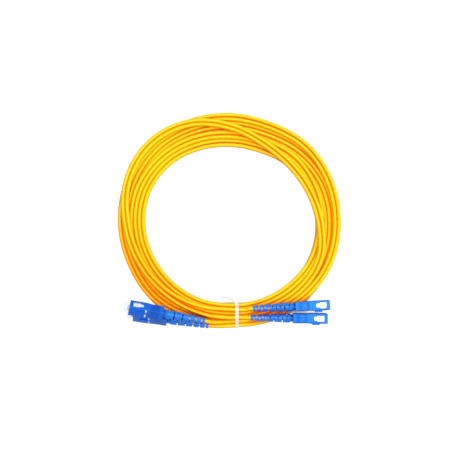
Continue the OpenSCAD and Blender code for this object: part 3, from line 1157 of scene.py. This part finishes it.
# %% Colours that follow the shade
def shade_ramp(tree, stops):
    """Colours along a ramp, as far as the mesh's own shade says."""
    value = tree.nodes.new("ShaderNodeAttribute")
    value.attribute_name = "shade"
    ramp = tree.nodes.new("ShaderNodeValToRGB")
    for _ in stops[2:]:
        ramp.color_ramp.elements.new(0.5)
    for element, (position, color) in zip(ramp.color_ramp.elements, stops):
        element.position = position
        element.color = (*color, 1)
    link(tree, value.outputs["Fac"], ramp.inputs["Fac"])
    return ramp.outputs["Color"]


def deepened(material, stops):
    """Gives a material the colours of a ramp instead of its one colour."""
    tree = material.node_tree
    skin = next(node for node in tree.nodes if node.type == "GROUP")
    link(tree, shade_ramp(tree, stops), skin.inputs["Color"])


def painted_crevice_glow(material, stops, strength):
    """Painted light: a faint glow in the crevices, for light that comes through the jackets beside.
    """
    body = material.node_tree.nodes["Principled BSDF"]
    link(material.node_tree, shade_ramp(material.node_tree, stops), body.inputs["Emission Color"])
    body.inputs["Emission Strength"].default_value = strength


print("ramp helpers ready")

# %% The jackets' yellow and its painted shade
YELLOW = (1.0, 0.76, 0.014)
# painted shade: orange and red between crowded strands, maroon between the boots, navy deep in a
# boot
SHADE_ORANGE = (1.0, 0.36, 0.002)
SHADE_RED = (1.0, 0.09, 0.002)
SHADE_MAROON = (0.16, 0.006, 0.03)
SHADE_NAVY = (0.004, 0.02, 0.3)
BLACK = (0, 0, 0)
# painted light: a faint orange glow where strands crowd
CREVICE_GLOW = (1.0, 0.26, 0.0)
CREVICE_GLOW_STRENGTH = 0.13

jacket_yellow = plastic(
    "jacket_yellow",
    YELLOW,
    cloud_size=120,
    cloud=0.06,
    roughness=0.38,
    specular_ior_level=0.8,
    specular_tint=(1, 0.8, 0.05, 1),
)
# painted shade from each point's shade value
deepened(jacket_yellow, [(0, YELLOW), (0.4, SHADE_ORANGE), (0.72, SHADE_RED), (0.9, SHADE_MAROON), (1, SHADE_NAVY)])
# painted light glowing in the crevices
painted_crevice_glow(jacket_yellow, [(0.22, BLACK), (0.63, CREVICE_GLOW), (0.9, BLACK)], CREVICE_GLOW_STRENGTH)
print(jacket_yellow.name, "made")

# %% The blues of sleeves and boots
BLUE = (0.007, 0.13, 0.78)
GRIP_BLUE = (0.004, 0.085, 0.62)
BOOT_BLUE = (0.008, 0.2, 0.88)
# painted shade on a boot's neck, slot walls and sides that face another plug
BOOT_SHADE_BLUE = (0.003, 0.03, 0.45)

sleeve_blue = plastic(
    "sleeve_blue",
    BLUE,
    cloud=0.02,
    roughness=0.28,
    change=0.04,
    bump=0.01,
    specular_ior_level=0.6,
    specular_tint=(0.15, 0.8, 1, 1),
)
deepened(sleeve_blue, [(0, BLUE), (1, GRIP_BLUE)])

boot_blue = plastic(
    "boot_blue",
    BOOT_BLUE,
    cloud=0.04,
    roughness=0.4,
    change=0.05,
    bump=0.03,
    specular_ior_level=0.7,
    specular_tint=(0.3, 0.9, 1, 1),
)
deepened(boot_blue, [(0, BOOT_BLUE), (1, BOOT_SHADE_BLUE)])
print(sleeve_blue.name, "and", boot_blue.name, "made")

# %% Each node's and each piece's finish
FINISH = {
    "plug_frame": frame_white,
    "ferrule": ceramic_white,
    "ferrule_collar": plated_metal,
    "squeezed_spring": spring_wire,
    "back_body": back_blue,
    "crimp_sleeve": crimp_metal,
    "coupling_sleeve": sleeve_blue,
    "index_marks": mark_white,
    "slotted_boot": boot_blue,
    "soft_cap": cap_clear,
    "wire_tie": tie_white,
}


def kind(name):
    """A name without its plug: plug_frame_a1 is a plug_frame."""
    head, _, last = name.rpartition("_")
    return head if last in PLUGS else name


def give(obj, material):
    """Puts one material on a piece, in place of any that it has."""
    obj.data.materials.clear()
    obj.data.materials.append(material)


for name, obj in {**nodes, **pieces}.items():
    if kind(name) in FINISH:
        give(obj, FINISH[kind(name)])
for jacket in jackets.values():
    give(jacket, jacket_yellow)
print("finishes given to", sum(kind(n) in FINISH for n in {**nodes, **pieces}), "nodes and pieces")

# %% [markdown]
# ## The table and the light
#
# The table is one plain white sheet. A lamp straight above puts a soft glow on every face that
# looks up, a second one from the upper right models the strands, and the world fills the rest. More
# light would turn the table white, but it would bleach the object too. So the table glows a little
# itself where the eye sees it, except close to the object, where it keeps the shadows.

# %% Who looks
def looked_at(tree, in_reflections):
    """1 where the camera looks, another value in reflections and through glass, 0 for light."""
    rays = tree.nodes.new("ShaderNodeLightPath").outputs
    seen = rays["Is Camera Ray"]
    for ray in ("Is Glossy Ray", "Is Transmission Ray"):
        seen = maths(tree, "MULTIPLY_ADD", rays[ray], in_reflections, seen)
    return seen


print("ray helper ready")

# %% Table
TABLE_GREY = 0.4
TABLE_SIZE = 3
TABLE_GLOW = 0.8
IN_REFLECTIONS = 0.5
NEAR_SHADOW = 10.5 * MM
# how steeply the glow sets in as the table opens up, and what is taken off it
GLOW_RISE, GLOW_START = 6.0, -2.0


def table_material():
    """White to the eye, and greyer as a source of light, with the near shadows kept."""
    material = bpy.data.materials.new("table_white")
    material.use_nodes = True
    tree = material.node_tree
    body = tree.nodes["Principled BSDF"]
    body.inputs["Base Color"].default_value = (TABLE_GREY, TABLE_GREY, TABLE_GREY, 1)
    body.inputs["Roughness"].default_value = 0.9
    body.inputs["Emission Color"].default_value = (1, 1, 1, 1)
    sky = tree.nodes.new("ShaderNodeAmbientOcclusion")
    sky.samples = 32
    sky.inputs["Distance"].default_value = NEAR_SHADOW
    uncovered = maths(tree, "MULTIPLY_ADD", sky.outputs["AO"], GLOW_RISE, GLOW_START, clamped=True)
    glow = maths(tree, "MULTIPLY", looked_at(tree, IN_REFLECTIONS), uncovered)
    link(tree, maths(tree, "MULTIPLY", glow, TABLE_GLOW), body.inputs["Emission Strength"])
    return material


def table():
    """A flat sheet under the coil, not part of the object."""
    data = bpy.data.meshes.new("table")
    bm = bmesh.new()
    bmesh.ops.create_grid(bm, x_segments=1, y_segments=1, size=TABLE_SIZE)
    bm.to_mesh(data)
    bm.free()
    obj = bpy.data.objects.new("table", data)
    bpy.context.scene.collection.objects.link(obj)
    obj.data.materials.append(table_material())
    return obj


print("table:", len(table().data.polygons), "face")

# %% Light
FILL = 0.34
AIM = (0, 0.06, 0)


def white_world():
    """A white room: it looks white, in reflections too, and lights the object with less."""
    world = bpy.data.worlds.new("white_room")
    world.use_nodes = True
    tree = world.node_tree
    room = tree.nodes["Background"]
    room.inputs["Color"].default_value = (1, 1, 1, 1)
    strength = maths(tree, "MULTIPLY_ADD", looked_at(tree, 1.0), 1 - FILL, FILL)
    link(tree, strength, room.inputs["Strength"])
    return world


def lamp(name, size, energy, spot):
    """A square lamp that faces the middle of the table."""
    data = bpy.data.lights.new(name, "AREA")
    data.shape = "SQUARE"
    data.size = size
    data.energy = energy
    obj = bpy.data.objects.new(name, data)
    obj.location = spot
    obj.rotation_euler = (Vector(AIM) - Vector(spot)).to_track_quat("-Z", "Y").to_euler()
    bpy.context.scene.collection.objects.link(obj)
    print(name, "lamp,", energy, "watts")


lamp("overhead", size=0.6, energy=7.0, spot=(0, 0.06, 1.1))
lamp("key", size=0.9, energy=3.4, spot=(0.45, 0.45, 0.95))
bpy.context.scene.world = white_world()
bpy.context.scene.view_settings.view_transform = "Standard"
